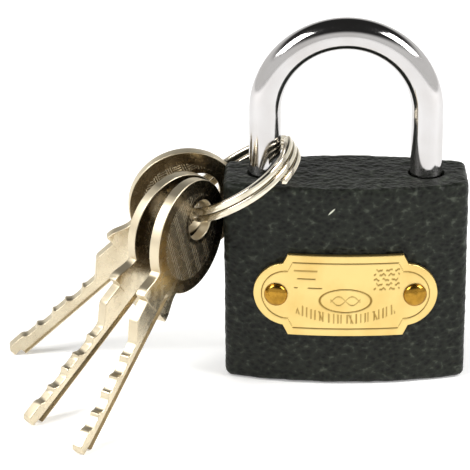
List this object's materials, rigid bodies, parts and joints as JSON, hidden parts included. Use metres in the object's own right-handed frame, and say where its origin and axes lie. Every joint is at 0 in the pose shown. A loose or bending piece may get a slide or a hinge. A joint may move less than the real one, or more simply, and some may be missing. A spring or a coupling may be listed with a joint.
{
  "type": "padlock",
  "caption": "Keyed padlock with a bulged cast body, a sliding shackle, a riveted nameplate, and keys hung on a split ring round one leg.",
  "frame": {"origin": "centre of the body's flat top face, midway between the shackle's legs", "axes": "+Z out of the top face towards the shackle's arch; +X from the heel leg to the toe leg; +Y from the nameplate's side to the back"},
  "size_m": [0.0733, 0.0428, 0.058],
  "materials": {
    "painted_iron": "wrinkled grey-black paint on cast iron",
    "chrome": "polished chrome plate on hardened steel",
    "brass": "thin polished brass sheet",
    "old_brass": "worn, darker brass",
    "nickel": "warm nickel plate, slightly worn",
    "steel": "plain turned steel",
    "spring_steel": "drawn spring wire",
    "plug_brass": "turned brass"
  },
  "bodies": {
    "lock_body": {"body": "painted_iron", "nameplate": "brass", "rivet_left": "old_brass", "rivet_right": "old_brass", "heel_pin": "steel", "plug_retainer": "steel", "shackle_spring": "spring_steel", "latch_spring": "spring_steel", "chamber_plug_1": "plug_brass", "chamber_plug_2": "plug_brass", "chamber_plug_3": "plug_brass", "chamber_plug_4": "plug_brass", "pin_spring_1": "spring_steel", "pin_spring_2": "spring_steel", "pin_spring_3": "spring_steel", "pin_spring_4": "spring_steel"},
    "shackle_body": {"shackle": "chrome"},
    "plug_body": {"plug": "plug_brass", "cam": "steel"},
    "latch_body": {"latch": "steel"},
    "ring_body": {"split_ring": "nickel"},
    "key_1_body": {"key_1": "nickel"},
    "key_2_body": {"key_2": "nickel"},
    "key_3_body": {"key_3": "nickel"},
    "key_pin_1_body": {"key_pin_1": "plug_brass"},
    "key_pin_2_body": {"key_pin_2": "plug_brass"},
    "key_pin_3_body": {"key_pin_3": "plug_brass"},
    "key_pin_4_body": {"key_pin_4": "plug_brass"},
    "driver_pin_1_body": {"driver_pin_1": "steel"},
    "driver_pin_2_body": {"driver_pin_2": "steel"},
    "driver_pin_3_body": {"driver_pin_3": "steel"},
    "driver_pin_4_body": {"driver_pin_4": "steel"}
  },
  "joints": [
    {"name": "shackle_lift", "type": "slide", "parent": "lock_body", "child": "shackle_body", "axis": [0, 0, 1], "range_m": [0, 0.008], "deforming": ["shackle_spring"]},
    {"name": "plug_turn", "type": "hinge", "parent": "lock_body", "child": "plug_body", "pos_m": [0, 0.0024, -0.02], "axis": [0, 0, 1], "range_deg": [-90, 0]},
    {"name": "latch_slide", "type": "slide", "parent": "lock_body", "child": "latch_body", "axis": [1, 0, 0], "range_m": [0, 0.0017], "deforming": ["latch_spring"]},
    {"name": "ring_tilt", "type": "hinge", "parent": "lock_body", "child": "ring_body", "pos_m": [-0.01, 0, 0.0026], "axis": [0, 1, 0], "range_deg": [0, 30]},
    {"name": "key_1_swing", "type": "hinge", "parent": "ring_body", "child": "key_1_body", "pos_m": [-0.02316, -0.00587, -0.00555], "axis": [0.8506, -0.5252, -0.0264], "range_deg": [-35, 2]},
    {"name": "key_2_swing", "type": "hinge", "parent": "ring_body", "child": "key_2_body", "pos_m": [-0.0247, -0.00137, -0.00637], "axis": [0.6864, -0.7261, -0.0406], "range_deg": [-35, 10]},
    {"name": "key_3_swing", "type": "hinge", "parent": "ring_body", "child": "key_3_body", "pos_m": [-0.02307, 0.00586, -0.00535], "axis": [0.1525, -0.9861, -0.0657], "range_deg": [-35, 20]},
    {"name": "key_pin_1_slide", "type": "slide", "parent": "plug_body", "child": "key_pin_1_body", "axis": [1, 0, 0], "range_m": [-0.0012, 0]},
    {"name": "key_pin_2_slide", "type": "slide", "parent": "plug_body", "child": "key_pin_2_body", "axis": [1, 0, 0], "range_m": [-0.0012, 0]},
    {"name": "key_pin_3_slide", "type": "slide", "parent": "plug_body", "child": "key_pin_3_body", "axis": [1, 0, 0], "range_m": [-0.0012, 0]},
    {"name": "key_pin_4_slide", "type": "slide", "parent": "plug_body", "child": "key_pin_4_body", "axis": [1, 0, 0], "range_m": [-0.0012, 0]},
    {"name": "driver_pin_1_slide", "type": "slide", "parent": "lock_body", "child": "driver_pin_1_body", "axis": [0, -1, 0], "range_m": [0, 0.0011], "deforming": ["pin_spring_1"]},
    {"name": "driver_pin_2_slide", "type": "slide", "parent": "lock_body", "child": "driver_pin_2_body", "axis": [0, -1, 0], "range_m": [0, 0.0011], "deforming": ["pin_spring_2"]},
    {"name": "driver_pin_3_slide", "type": "slide", "parent": "lock_body", "child": "driver_pin_3_body", "axis": [0, -1, 0], "range_m": [0, 0.0011], "deforming": ["pin_spring_3"]},
    {"name": "driver_pin_4_slide", "type": "slide", "parent": "lock_body", "child": "driver_pin_4_body", "axis": [0, -1, 0], "range_m": [0, 0.0011], "deforming": ["pin_spring_4"]}
  ],
  "couplings": [
    {"joint": "plug_turn", "follows": "latch_slide", "rad_per_m": -925.6}
  ]
}
